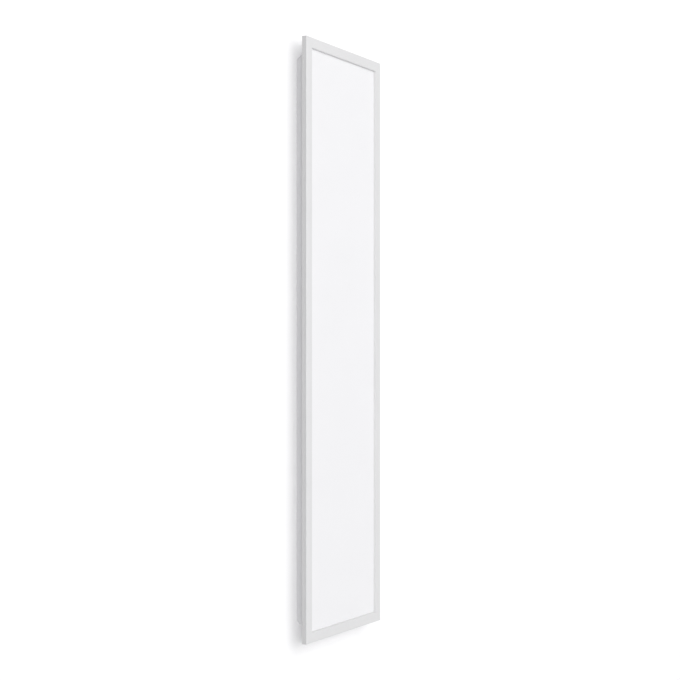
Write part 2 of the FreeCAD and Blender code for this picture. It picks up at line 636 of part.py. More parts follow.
def bulk_capacitor():
    """Electrolytic capacitor lying on the board."""
    can = rod(6.0, (-4, PCB_Y + PCB_T + 6.1, -46), (0, 0, 1), 24)
    groove = rod(6.5, (-4, PCB_Y + PCB_T + 6.1, -43.5), (0, 0, 1), 1.2).cut(
        rod(5.4, (-4, PCB_Y + PCB_T + 6.1, -43.6), (0, 0, 1), 1.4))
    return can.cut(groove)


def filter_capacitors():
    """Film capacitors near the mains end and output capacitors near the other."""
    y0 = PCB_Y + PCB_T
    film = [slab(6.5, 3.0, 0.6, y0, y0 + 9.5, (x, z)) for x, z in ((12, -40), (12, -50))]
    cans = [y_rod(4.0, x, z, y0, y0 + 11.0) for x, z in ((-10, 42), (0, 42), (10, 42))]
    return Part.makeCompound(film + cans)


def line_choke():
    """Common-mode choke: a ring core standing on the board."""
    ring = Part.makeTorus(5.0, 2.2, V(-2, PCB_Y + PCB_T + 7.3, -57), V(0, 0, 1))
    base = block(-8, 4, PCB_Y + PCB_T, PCB_Y + PCB_T + 1.2, -60, -54)
    return fuse([ring, base])


def heat_sink():
    """Folded aluminium strip along one side of the board."""
    y0 = PCB_Y + PCB_T
    upright = block(17.2, 18.6, y0, y0 + 9.0, -10, 38)
    foot = block(14.5, 18.6, y0, y0 + 1.4, -10, 38)
    fins = [block(18.6, 20.4, y0 + 1.0, y0 + 9.0, z, z + 1.2) for z in range(-9, 37, 5)]
    return fuse([upright, foot] + fins)


def terminal_block(sign):
    """Two-pole push-in terminal with wire entries and wells for the release buttons."""
    y0, y1 = PCB_Y + PCB_T, PCB_Y + PCB_T + TERMINAL_H
    body = block(-TERMINAL_X, TERMINAL_X, y0, y1, TERMINAL_NEAR, TERMINAL_FAR)
    half_w, half_l = BUTTON_W / 2 + 0.15, BUTTON_L / 2 + 0.15
    well = BUTTON_SUNK + BUTTON_TRAVEL + WELL_CLEAR
    cuts = []
    for sx in SIDES:
        x = sx * BUTTON_X
        cuts.append(block(x - half_w, x + half_w, y1 - well, y1 + 1, BUTTON_Z - half_l, BUTTON_Z + half_l))
        cuts.append(rod(1.6, (x, CABLE_Y, TERMINAL_FAR - 7), (0, 0, 1), 8))
        cuts.append(Part.makeCone(1.6, 2.4, 1.2, V(x, CABLE_Y, TERMINAL_FAR - 1.2), V(0, 0, 1)))
    body = body.cut(Part.makeCompound(cuts))
    return body if sign > 0 else z_mirror(body)


def release_button(sx, sign):
    """Push button that opens one spring contact. It travels towards the front."""
    y1 = PCB_Y + PCB_T + TERMINAL_H
    half_w, half_l = BUTTON_W / 2, BUTTON_L / 2
    x, z = sx * BUTTON_X, sign * BUTTON_Z
    button = block(x - half_w, x + half_w, y1 - BUTTON_SUNK, y1 + BUTTON_PROUD, z - half_l, z + half_l)
    slot = block(x - 1.8, x + 1.8, y1 + BUTTON_PROUD - 0.8, y1 + BUTTON_PROUD + 1, z - 0.5, z + 0.5)
    return button.cut(slot)


# ---------------------------------------------------------------- build
PARTS = {
    "frame_side_left": lambda: frame_side(-1),
    "frame_side_right": lambda: frame_side(1),
    "frame_end_top": lambda: frame_end(1),
    "frame_end_bottom": lambda: frame_end(-1),
    "corner_keys": corner_keys,
    "diffuser_plate": diffuser_plate,
    "reflector_sheet": reflector_sheet,
    "led_board_left_upper": lambda: led_board(-1, 1),
    "led_board_left_lower": lambda: led_board(-1, -1),
    "led_board_right_upper": lambda: led_board(1, 1),
    "led_board_right_lower": lambda: led_board(1, -1),
    "led_packages": led_packages,
    "led_lenses_left_upper": lambda: led_lenses(-1, 1),
    "led_lenses_left_lower": lambda: led_lenses(-1, -1),
    "led_lenses_right_upper": lambda: led_lenses(1, 1),
    "led_lenses_right_lower": lambda: led_lenses(1, -1),
    "board_rivets": board_rivets,
    "board_connectors": board_connectors,
    "feed_wires": feed_wires,
    "board_link_wires": board_link_wires,
    "back_pan": back_pan,
    "pan_screws": pan_screws,
    "suspension_nuts": suspension_nuts,
    "lead_grommet": lead_grommet,
    "dc_lead": dc_lead,
    "dc_lead_cores": dc_lead_cores,
    "driver_case": driver_case,
    "driver_lid": driver_lid,
    "driver_screws": driver_screws,
    "driver_board": driver_board,
    "board_screws": board_screws,
    "driver_transformer": driver_transformer,
    "bulk_capacitor": bulk_capacitor,
    "filter_capacitors": filter_capacitors,
    "line_choke": line_choke,
    "heat_sink": heat_sink,
    "mains_terminal": lambda: terminal_block(-1),
    "output_terminal": lambda: terminal_block(1),
    "mains_release_live": lambda: release_button(-1, -1),
    "mains_release_neutral": lambda: release_button(1, -1),
    "output_release_positive": lambda: release_button(-1, 1),
    "output_release_negative": lambda: release_button(1, 1),
    "mains_cover": lambda: terminal_cover(-1),
    "output_cover": lambda: terminal_cover(1),
    "mains_cover_screw": lambda: cover_screw(-1),
    "output_cover_screw": lambda: cover_screw(1),
    "mains_cord_clamp": lambda: cord_clamp(-1),
    "output_cord_clamp": lambda: cord_clamp(1),
    "cord_clamp_screws": cord_clamp_screws,
}


def main():
    """Write every sub-part as a STEP file, moved to the origin on the pan's back."""
    os.makedirs("parts", exist_ok=True)
    for name, make in PARTS.items():
        shape = make()
        solids = shape.Solids
        valid = all(s.isValid() and s.Volume > 0 for s in solids)
        if not solids or not valid:
            raise ValueError(f"{name} is not made of valid solids")
        keep = solids[0] if len(solids) == 1 else Part.makeCompound(solids)
        keep = keep.translated(V(0, -PAN_BACK, 0))
        keep.exportStep(os.path.join("parts", name + ".step"))
        print(f"{name}: {len(solids)} solid(s), {keep.Volume / 1000:.2f} cm3")


main()
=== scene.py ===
"""Looks of a slim backlit LED panel luminaire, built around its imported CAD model.

Lengths are in metres, in the frame of the CAD model. Z runs up the long side, the light leaves towards -Y,
and the origin is on the back plane of the pan, at the centre of its four suspension nuts.
"""
import json
import logging
import math
from collections.abc import Sequence
from dataclasses import dataclass
from enum import Enum
from typing import Any

import bmesh
import bpy
from mathutils import Matrix, Vector

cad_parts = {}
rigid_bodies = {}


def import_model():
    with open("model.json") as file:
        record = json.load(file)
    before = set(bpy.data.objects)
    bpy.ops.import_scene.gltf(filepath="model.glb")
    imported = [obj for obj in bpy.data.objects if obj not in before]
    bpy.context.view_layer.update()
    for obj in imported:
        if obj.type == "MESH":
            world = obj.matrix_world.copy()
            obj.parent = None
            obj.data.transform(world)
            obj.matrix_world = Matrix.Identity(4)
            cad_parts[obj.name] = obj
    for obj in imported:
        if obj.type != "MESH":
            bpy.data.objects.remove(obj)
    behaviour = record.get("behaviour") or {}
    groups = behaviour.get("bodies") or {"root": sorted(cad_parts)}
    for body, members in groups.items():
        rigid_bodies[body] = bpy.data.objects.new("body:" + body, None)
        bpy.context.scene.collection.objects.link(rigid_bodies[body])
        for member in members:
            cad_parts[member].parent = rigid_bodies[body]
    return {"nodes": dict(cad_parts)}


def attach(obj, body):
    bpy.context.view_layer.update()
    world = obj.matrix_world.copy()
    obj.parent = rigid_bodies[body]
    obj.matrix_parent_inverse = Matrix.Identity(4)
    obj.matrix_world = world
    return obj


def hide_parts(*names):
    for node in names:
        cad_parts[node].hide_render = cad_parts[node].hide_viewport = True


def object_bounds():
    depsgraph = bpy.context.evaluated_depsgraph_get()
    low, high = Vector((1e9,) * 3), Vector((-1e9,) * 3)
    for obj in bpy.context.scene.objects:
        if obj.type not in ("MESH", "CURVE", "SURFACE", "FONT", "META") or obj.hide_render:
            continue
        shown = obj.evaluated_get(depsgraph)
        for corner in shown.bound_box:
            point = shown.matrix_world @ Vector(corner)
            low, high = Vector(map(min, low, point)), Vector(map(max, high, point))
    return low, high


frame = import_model()
CAD_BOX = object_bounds()

MM = 0.001
SAME_SPOT = 1e-6            # corners closer than this are one corner
ROOT = "panel"
LOG = logging.getLogger("panel_light")

Point = tuple[float, float, float]


class Facing(Enum):
    """The way that a fastener's head or a part's top points."""

    BACK = (0.0, 1.0, 0.0)
    FRONT = (0.0, -1.0, 0.0)


# ---------------------------------------------------------------- small tools
def linear(code: str) -> tuple[float, float, float, float]:
    """Turns an sRGB hex value to a linear colour.

    Args:
        code: The colour as #rrggbb.

    Returns:
        Linear red, green, blue and an alpha of 1.
    """
    shares = [int(code[i:i + 2], 16) / 255 for i in (1, 3, 5)]
    red, green, blue = (s / 12.92 if s <= 0.04045 else ((s + 0.055) / 1.055) ** 2.4 for s in shares)
    return red, green, blue, 1.0


def per_metre(size_mm: float) -> float:
    """Scale of a pattern on Object coordinates whose features are that many millimetres across."""
    return 1000.0 / size_mm


def add_node(tree: bpy.types.NodeTree, kind: str, inputs: dict[Any, Any] | None = None,
             **settings: Any) -> bpy.types.Node:
    """Adds a node with its settings, values and links.

    Args:
        tree: The tree that gets the node.
        kind: The node's type name.
        inputs: Input name or number to a value, or to the output socket that feeds it.
        **settings: The node's own properties.

    Returns:
        The new node.
    """
    node = tree.nodes.new(kind)
    for name, value in settings.items():
        setattr(node, name, value)
    for name, value in (inputs or {}).items():
        if isinstance(value, bpy.types.NodeSocket):
            tree.links.new(value, node.inputs[name])
        else:
            node.inputs[name].default_value = value
    return node


def to_object(mesh: bpy.types.Mesh, name: str) -> bpy.types.Object:
    """Links a mesh to the scene as an object at the origin.

    Args:
        mesh: The mesh.
        name: Name of the object.

    Returns:
        The object.
    """
    thing = bpy.data.objects.new(name, mesh)
    bpy.context.scene.collection.objects.link(thing)
    return thing


def finished_mesh(thing: bpy.types.Object) -> bpy.types.Mesh:
    """A plain mesh of an object with its modifiers applied."""
    graph = bpy.context.evaluated_depsgraph_get()
    return bpy.data.meshes.new_from_object(thing.evaluated_get(graph))


def circle(count: int, radius: float, height: float, offset: float = 0.0) -> list[Point]:
    """Points evenly round Z.

    Args:
        count: Number of points.
        radius: Their distance from the axis.
        height: Their height.
        offset: Turn of the first one, in steps.

    Returns:
        The points, in order.
    """
    turns = [2 * math.pi * (k + offset) / count for k in range(count)]
    return [(radius * math.cos(t), radius * math.sin(t), height) for t in turns]


def join_rings(mesh: bmesh.types.BMesh, rings: Sequence[Sequence[bmesh.types.BMVert]]) -> None:
    """Puts a band of faces between each ring and the next. A ring of one vertex is a pole.

    Args:
        mesh: The bmesh that holds the rings.
        rings: The rings, from one end to the other.
    """
    for lower, upper in zip(rings, rings[1:]):
        for k in range(max(len(lower), len(upper))):
            corners = [lower[k % len(lower)], lower[(k + 1) % len(lower)],
                       upper[(k + 1) % len(upper)], upper[k % len(upper)]]
            mesh.faces.new(list(dict.fromkeys(corners)))


def solid_boxes(node: str) -> list[tuple[Vector, Vector]]:
    """Finds the separate solids of a CAD node.

    Args:
        node: The CAD node's name.

    Returns:
        The lowest and highest corner of each solid, in the order of their places.
    """
    mesh = bmesh.new()
    mesh.from_mesh(frame["nodes"][node].data)
    bmesh.ops.remove_doubles(mesh, verts=mesh.verts, dist=SAME_SPOT)
    unseen, boxes = set(mesh.verts), []
    while unseen:
        group, edge = set(), [unseen.pop()]
        while edge:
            vertex = edge.pop()
            group.add(vertex)
            for near in (e.other_vert(vertex) for e in vertex.link_edges):
                if near in unseen:
                    unseen.remove(near)
                    edge.append(near)
        spots = [v.co for v in group]
        low = Vector([min(s[i] for s in spots) for i in range(3)])
        high = Vector([max(s[i] for s in spots) for i in range(3)])
        boxes.append((low, high))
    mesh.free()
    return sorted(boxes, key=lambda pair: tuple(round(c, 5) for c in pair[0]))


def middles(boxes: Sequence[tuple[Vector, Vector]], depth: float = 0.0) -> list[Vector]:
    """Places in the middle of each solid's back, or that far in front of it."""
    return [Vector(((low.x + high.x) / 2, high.y - depth, (low.z + high.z) / 2)) for low, high in boxes]


def lathe(profile: Sequence[tuple[float, float]], segments: int) -> bmesh.types.BMesh:
    """Turns a profile about Z into a closed solid.

    Args:
        profile: Radius and height pairs. The first and last radius are 0.
        segments: Number of faces round the axis.

    Returns:
        A new bmesh, with its faces pointing outwards.
    """
    mesh = bmesh.new()
    rings = []
    for radius, height in profile:
        points = circle(segments, radius, height) if radius else [(0.0, 0.0, height)]
        rings.append([mesh.verts.new(point) for point in points])
    join_rings(mesh, rings)
    bmesh.ops.recalc_face_normals(mesh, faces=mesh.faces)
    return mesh


def as_mesh(shape: bmesh.types.BMesh, name: str, smooth_below: float = 35.0) -> bpy.types.Mesh:
    """Turns a bmesh into a mesh whose gentle edges are shaded smooth.

    Args:
        shape: The bmesh, which is freed.
        name: Name of the mesh.
        smooth_below: Edges that turn by less than this many degrees are smooth.

    Returns:
        The new mesh.
    """
    limit = math.radians(smooth_below)
    for face in shape.faces:
        face.smooth = True
    for edge in shape.edges:
        edge.smooth = edge.is_manifold and edge.calc_face_angle() < limit
    mesh = bpy.data.meshes.new(name)
    shape.to_mesh(mesh)
    shape.free()
    return mesh


def dress(nodes: Sequence[str], material: bpy.types.Material) -> None:
    """Gives CAD nodes a finish.

    Args:
        nodes: Names of the nodes.
        material: Their finish.
    """
    for name in nodes:
        slots = frame["nodes"][name].data.materials
        if not slots:
            slots.append(material)
        for i in range(len(slots)):
            slots[i] = material
    LOG.info("%s on %s", material.name, ", ".join(nodes))


def settle(piece: bpy.types.Object, body: str, stands_for: Sequence[str] = ()) -> None:
    """Ties a finished piece to the model.

    Args:
        piece: The piece.
        body: The CAD body that it moves with.
        stands_for: The CAD nodes that it replaces.
    """
    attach(piece, body)
    if stands_for:
        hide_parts(*stands_for)
    LOG.info("%s: %d faces on %s", piece.name, len(piece.data.polygons), body)


# ---------------------------------------------------------------- finishes
@dataclass(frozen=True)
class Finish:
    """A plain finish with soft patches of colour, faint smears in its gloss and a fine relief.

    Sizes in millimetres are those of the real surface, or as coarse as they need to be to show. mottle is
    how far the patches part from the colour, smear_share is the smears' size as a share of the patches',
    and smear_depth is how far they part from the roughness.
    """

    name: str
    colour: str
    roughness: float
    ior: float = 1.5
    metallic: float = 0.0
    mottle: float = 0.03
    mottle_mm: float = 30.0
    grain_mm: float = 1.0
    grain_depth_mm: float = 0.02
    smear_share: float = 0.4
    smear_depth: float = 0.12

    def build(self) -> bpy.types.Material:
        """Makes the material, with its shader, colour, gloss and relief.

        Returns:
            The material.
        """
        material = bpy.data.materials.new(self.name)
        material.use_nodes = True
        tree = material.node_tree
        tree.nodes.clear()
        shader = add_node(tree, "ShaderNodeBsdfPrincipled", {"IOR": self.ior, "Metallic": self.metallic})
        place = add_node(tree, "ShaderNodeTexCoord").outputs["Object"]
        tree.links.new(self.tint(tree, place), shader.inputs["Base Color"])
        tree.links.new(self.gloss(tree, place), shader.inputs["Roughness"])
        tree.links.new(self.relief(tree, place), shader.inputs["Normal"])
        self.extras(shader)
        add_node(tree, "ShaderNodeOutputMaterial", {"Surface": shader.outputs["BSDF"]})
        return material

    def tint(self, tree: bpy.types.NodeTree, place: bpy.types.NodeSocket) -> bpy.types.NodeSocket:
        """Base colour: two close shades in soft patches."""
        patches = soft_noise(tree, place, self.mottle_mm)
        return two_tone(tree, patches, self.colour, self.colour, self.mottle)

    def gloss(self, tree: bpy.types.NodeTree, place: bpy.types.NodeSocket) -> bpy.types.NodeSocket:
        """Roughness, a little uneven from handling.

        Args:
            tree: The material's tree.
            place: Socket with the Object coordinates.

        Returns:
            The roughness socket.
        """
        smears = soft_noise(tree, place, self.mottle_mm * self.smear_share)
        low, high = 1 - self.smear_depth, 1 + self.smear_depth
        spread = add_node(tree, "ShaderNodeMapRange", {
            "Value": smears, "To Min": self.roughness * low, "To Max": min(1.0, self.roughness * high)})
        return spread.outputs["Result"]

    def relief(self, tree: bpy.types.NodeTree, place: bpy.types.NodeSocket) -> bpy.types.NodeSocket:
        """Fine bumps of the finish."""
        return bump(tree, soft_noise(tree, place, self.grain_mm), self.grain_depth_mm)

    def extras(self, shader: bpy.types.Node) -> None:
        """Anything else that the shader needs."""


def soft_noise(tree: bpy.types.NodeTree, place: bpy.types.NodeSocket, size_mm: float,
               detail: float = 2.0) -> bpy.types.NodeSocket:
    """Noise whose lumps have a given size.

    Args:
        tree: The tree that gets the node.
        place: Socket with the coordinates.
        size_mm: Size of the lumps.
        detail: Number of finer layers in them.

    Returns:
        The value socket.
    """
    noise = add_node(tree, "ShaderNodeTexNoise", {
        "Vector": place, "Scale": per_metre(size_mm), "Detail": detail})
    return noise.outputs["Fac"]


def shade(code: str, share: float) -> tuple[float, float, float, float]:
    """The colour made lighter, or darker where share is negative."""
    red, green, blue, _ = linear(code)
    return (*(min(1.0, c * (1 + share)) for c in (red, green, blue)), 1.0)


def two_tone(tree: bpy.types.NodeTree, mask: bpy.types.NodeSocket, low: str, high: str,
             spread: float = 0.0, edges: tuple[float, float] = (0.3, 0.7)) -> bpy.types.NodeSocket:
    """Blends two colours along a mask.

    Args:
        tree: The material's tree.
        mask: Socket with values from 0 to 1.
        low: Hex colour where the mask is low.
        high: Hex colour where the mask is high.
        spread: Share by which the low colour is darkened and the high one lightened.
        edges: Mask values where the blend starts and ends.

    Returns:
        The colour socket.
    """
    ramp = add_node(tree, "ShaderNodeValToRGB", {"Fac": mask})
    first, last = ramp.color_ramp.elements
    first.position, last.position = edges
    first.color, last.color = shade(low, -spread), shade(high, spread)
    return ramp.outputs["Color"]


def bump(tree: bpy.types.NodeTree, height: bpy.types.NodeSocket, depth_mm: float,
         strength: float = 0.6) -> bpy.types.NodeSocket:
    """Relief from a height mask.

    Args:
        tree: The material's tree.
        height: Socket with the height, from 0 to 1.
        depth_mm: How deep it is.
        strength: How much of it shows.

    Returns:
        The normal socket.
    """
    node = add_node(tree, "ShaderNodeBump", {
        "Height": height, "Distance": depth_mm * MM, "Strength": strength})
    return node.outputs["Normal"]


def pebbles(tree: bpy.types.NodeTree, place: bpy.types.NodeSocket, size_mm: float) -> bpy.types.NodeSocket:
    """Height of rounded pebbles.

    Args:
        tree: The material's tree.
        place: Socket with the Object coordinates.
        size_mm: Size of a pebble.

    Returns:
        The height socket.
    """
    cells = add_node(tree, "ShaderNodeTexVoronoi", {"Vector": place, "Scale": per_metre(size_mm)},
                     feature="SMOOTH_F1")
    return cells.outputs["Distance"]


@dataclass(frozen=True)
class PowderCoat(Finish):
    """Sprayed and baked polyester powder: satin, with the shallow lumps known as orange peel."""

    peel_mm: float = 2.2

    def relief(self, tree: bpy.types.NodeTree, place: bpy.types.NodeSocket) -> bpy.types.NodeSocket:
        """Peel with a finer grain on it. Real peel is about 1 mm. It is drawn coarser so that it shows.

        Args:
            tree: The material's tree.
            place: Socket with the Object coordinates.

        Returns:
            The normal socket.
        """
        peel = soft_noise(tree, place, self.peel_mm, 1.0)
        grain = soft_noise(tree, place, self.grain_mm)
        both = add_node(tree, "ShaderNodeMath", {0: peel, 1: grain}, operation="ADD")
        return bump(tree, both.outputs[0], self.grain_depth_mm)

    def extras(self, shader: bpy.types.Node) -> None:
        """The thin, glossier skin that the powder flows out to."""
        shader.inputs["Coat Weight"].default_value = 0.12
        shader.inputs["Coat Roughness"].default_value = 0.25


@dataclass(frozen=True)
class OpalPlate(Finish):
    """Extruded opal acrylic with a matt front: light goes in a little and comes back soft."""

    depth_mm: float = 1.5

    def relief(self, tree: bpy.types.NodeTree, place: bpy.types.NodeSocket) -> bpy.types.NodeSocket:
        """Matt texture. Real lumps are about 0.1 mm. They are drawn coarser so that they show."""
        return bump(tree, pebbles(tree, place, self.grain_mm), self.grain_depth_mm, 0.35)

    def extras(self, shader: bpy.types.Node) -> None:
        """Scattering inside the plate."""
        shader.inputs["Subsurface Weight"].default_value = 0.25
        shader.inputs["Subsurface Scale"].default_value = self.depth_mm * MM
        shader.inputs["Subsurface Radius"].default_value = (1.0, 1.0, 1.0)


@dataclass(frozen=True)
class MouldedPlastic(Finish):
    """Injection-moulded plastic from a spark-eroded mould: an even, pebbled sheen."""

    def relief(self, tree: bpy.types.NodeTree, place: bpy.types.NodeSocket) -> bpy.types.NodeSocket:
        """Pebbles of the mould's surface."""
        return bump(tree, pebbles(tree, place, self.grain_mm), self.grain_depth_mm, 0.5)


@dataclass(frozen=True)
class PlatedMetal(Finish):
    """Metal with a thin plating: bright, with faint drawn lines and duller patches."""

    line_mm: float = 0.25
    run: Point = (1.0, 1.0, 0.08)

    def relief(self, tree: bpy.types.NodeTree, place: bpy.types.NodeSocket) -> bpy.types.NodeSocket:
        """Drawing lines, stretched along the run."""
        stretched = add_node(tree, "ShaderNodeMapping", {"Vector": place, "Scale": self.run})
        lines = soft_noise(tree, stretched.outputs["Vector"], self.line_mm, 3.0)
        return bump(tree, lines, self.grain_depth_mm, 0.4)


@dataclass(frozen=True)
class CircuitMask(Finish):
    """Solder mask over copper tracks: the tracks stand up a little and look lighter.

    gap_share and track_length are the gap between tracks and their length, as multiples of their width.
    """

    track: str = "#ffffff"
    track_mm: float = 2.4
    gap_share: float = 0.14
    track_length: float = 9.0

    def tracks(self, tree: bpy.types.NodeTree, place: bpy.types.NodeSocket) -> bpy.types.NodeSocket:
        """Mask that is 1 on the copper: long cells along the board, parted by narrow gaps.

        Args:
            tree: The material's tree.
            place: Socket with the Object coordinates.

        Returns:
            The mask's socket.
        """
        quarter, row = math.radians(90), self.track_mm * MM
        turned = add_node(tree, "ShaderNodeMapping", {"Vector": place, "Rotation": (quarter, quarter, 0)})
        cells = add_node(tree, "ShaderNodeTexBrick", {
            "Vector": turned.outputs["Vector"], "Scale": 1.0, "Mortar Size": row * self.gap_share,
            "Brick Width": row * self.track_length, "Row Height": row, "Mortar Smooth": 0.2})
        flipped = add_node(tree, "ShaderNodeMath", {0: 1.0, 1: cells.outputs["Fac"]}, operation="SUBTRACT")
        return flipped.outputs[0]

    def tint(self, tree: bpy.types.NodeTree, place: bpy.types.NodeSocket) -> bpy.types.NodeSocket:
        """Mask colour over laminate and over copper."""
        return two_tone(tree, self.tracks(tree, place), self.colour, self.track, self.mottle, (0.1, 0.9))

    def relief(self, tree: bpy.types.NodeTree, place: bpy.types.NodeSocket) -> bpy.types.NodeSocket:
        """Copper steps under the mask."""
        return bump(tree, self.tracks(tree, place), self.grain_depth_mm, 0.8)


@dataclass(frozen=True)
class Winding(Finish):
    """Enamelled copper wire, wound turn by turn, with painted shade in the grooves between the turns."""

    wire_mm: float = 0.6
    # painted shade: the dark brown stands for the shade down in the grooves between the turns
    painted_groove_shade: str = "#4a1c0c"

    def turns(self, tree: bpy.types.NodeTree, place: bpy.types.NodeSocket) -> bpy.types.NodeSocket:
        """Mask that rises on each turn of wire."""
        scale = per_metre(self.wire_mm) / (2 * math.pi)
        waves = add_node(tree, "ShaderNodeTexWave", {"Vector": place, "Scale": scale}, bands_direction="X")
        return waves.outputs["Fac"]

    def tint(self, tree: bpy.types.NodeTree, place: bpy.types.NodeSocket) -> bpy.types.NodeSocket:
        """Painted shade in the grooves between turns, and the enamel's own colour on the turns."""
        return two_tone(tree, self.turns(tree, place), self.painted_groove_shade, self.colour, self.mottle)

    def relief(self, tree: bpy.types.NodeTree, place: bpy.types.NodeSocket) -> bpy.types.NodeSocket:
        """Round backs of the turns."""
        return bump(tree, self.turns(tree, place), self.grain_depth_mm, 1.0)


@dataclass(frozen=True)
class ClearMoulding(Finish):
    """Clear acrylic: polished, so the lens looks like a drop of water."""

    def extras(self, shader: bpy.types.Node) -> None:
        """Light passes straight through."""
        shader.inputs["Transmission Weight"].default_value = 0.92


FINISHES: dict[str, Finish] = {
    # polyester powder on aluminium: plain white, satin
    "frame_enamel": PowderCoat("polyester_powder_on_aluminium", "#dddddd", 0.42, mottle=0.008, mottle_mm=60),
    # the same powder on steel, sprayed thinner, so the peel is shorter; painted light: its white is set
    # lighter than the frame's to brighten the shade on the pan's sides
    "pan_enamel": PowderCoat("polyester_powder_on_steel", "#f1f1f2", 0.46, mottle=0.012, mottle_mm=90,
                             peel_mm=1.6),
    # opal acrylic: a near-white plate with hardly any gloss
    "opal_acrylic": OpalPlate("opal_acrylic_matt", "#ececed", 0.55, ior=1.49, mottle=0.004, mottle_mm=120,
                              grain_mm=0.8, grain_depth_mm=0.006),
    # microfoamed polyester: dead matt and very white
    "reflector_film": Finish("foamed_polyester_film", "#f4f4f2", 0.9, mottle=0.01, grain_mm=0.5),
    # white mask on aluminium core: satin white, with faint tracks
    "board_mask": CircuitMask("white_mask_on_aluminium", "#dddcd6", 0.45, track="#eceae4", track_mm=4.0,
                              mottle=0.0, grain_depth_mm=0.06),
    # phosphor in silicone: egg-yolk yellow, slightly wet
    "led_phosphor": Finish("phosphor_in_silicone", "#e8b62c", 0.25, ior=1.41, mottle=0.06, mottle_mm=0.8,
                           grain_mm=0.3),
    # clear acrylic from a polished mould: bright edges, and the LED shows through
    "clear_acrylic": ClearMoulding("clear_acrylic", "#f6f9fb", 0.04, ior=1.49, mottle=0.0, grain_mm=6.0,
                                   grain_depth_mm=0.01),
    # undyed nylon: milky, warmer than the paint
    "natural_nylon": MouldedPlastic("natural_nylon", "#dcd8c8", 0.4, ior=1.53, grain_mm=0.5),
    # white nylon: a creamy white, brighter than the boards' mask
    "connector_nylon": MouldedPlastic("white_nylon", "#e6e4dc", 0.42, ior=1.53, grain_mm=0.4),
    # extruded PVC on thin wire: smooth red with a soft shine
    "wire_pvc": Finish("red_pvc_insulation", "#a8281e", 0.35, ior=1.54, mottle=0.05, mottle_mm=4,
                       grain_mm=0.4),
    # extruded PVC sheath: smooth white
    "lead_pvc": Finish("white_pvc_sheath", "#dfdfdc", 0.38, ior=1.54, mottle=0.02, mottle_mm=12,
                       grain_mm=0.7),
    # nitrile rubber: black, dull, a little dusty
    "grommet_rubber": Finish("black_nitrile_rubber", "#1c1c1d", 0.7, ior=1.52, mottle=0.15, mottle_mm=3,
                             grain_mm=0.3),
    # moulded polycarbonate: white, a shade greyer and more even than the paint
    "case_polycarbonate": MouldedPlastic("white_polycarbonate", "#d3d4d3", 0.48, ior=1.585, mottle=0.012,
                                         mottle_mm=25, grain_mm=0.55, grain_depth_mm=0.03),
    # glass-filled nylon: grey, with a dry, slightly cloudy skin
    "terminal_nylon": MouldedPlastic("grey_glass_filled_nylon", "#84878a", 0.55, ior=1.53, mottle=0.05,
                                     mottle_mm=3, grain_mm=0.35),
    # dyed nylon: orange, so that a finger finds it
    "button_nylon": MouldedPlastic("orange_nylon", "#d0661a", 0.4, ior=1.53, mottle=0.03, mottle_mm=3,
                                   grain_mm=0.3),
    # bright zinc: grey-white metal with a faint blue cast
    "zinc_steel": PlatedMetal("bright_zinc_on_steel", "#b9bdc3", 0.3, metallic=1.0, mottle=0.08,
                              mottle_mm=2.5, grain_depth_mm=0.01),
    # green mask on glass epoxy: dark laminate, brighter over the copper
    "glass_epoxy": CircuitMask("green_mask_on_glass_epoxy", "#0d3b20", 0.3, track="#1d6a3a", mottle=0.0,
                               grain_depth_mm=0.05),
    # sintered ferrite: nearly black, with a fine grey speckle
    "ferrite": Finish("sintered_ferrite", "#2c2b2d", 0.55, ior=2.0, mottle=0.35, mottle_mm=0.6,
                      grain_mm=0.3),
    # shrunk PVC sleeve: blue-black, glossy, with slow ripples
    "capacitor_sleeve": Finish("blue_black_shrink_sleeve", "#1b2333", 0.22, ior=1.54, mottle=0.1,
                               mottle_mm=5, grain_mm=1.5),
    # enamelled copper wire: orange-brown, glossy, in close turns, with painted shade in the grooves between
    # them
    "enamelled_copper": Winding("enamelled_copper", "#b8622c", 0.28, metallic=0.85, grain_depth_mm=0.25),
    # rolled aluminium, not painted: pale grey metal with fine lines
    "bare_aluminium": PlatedMetal("bare_rolled_aluminium", "#c4c5c7", 0.34, metallic=1.0, mottle=0.05,
                                  mottle_mm=8),
}


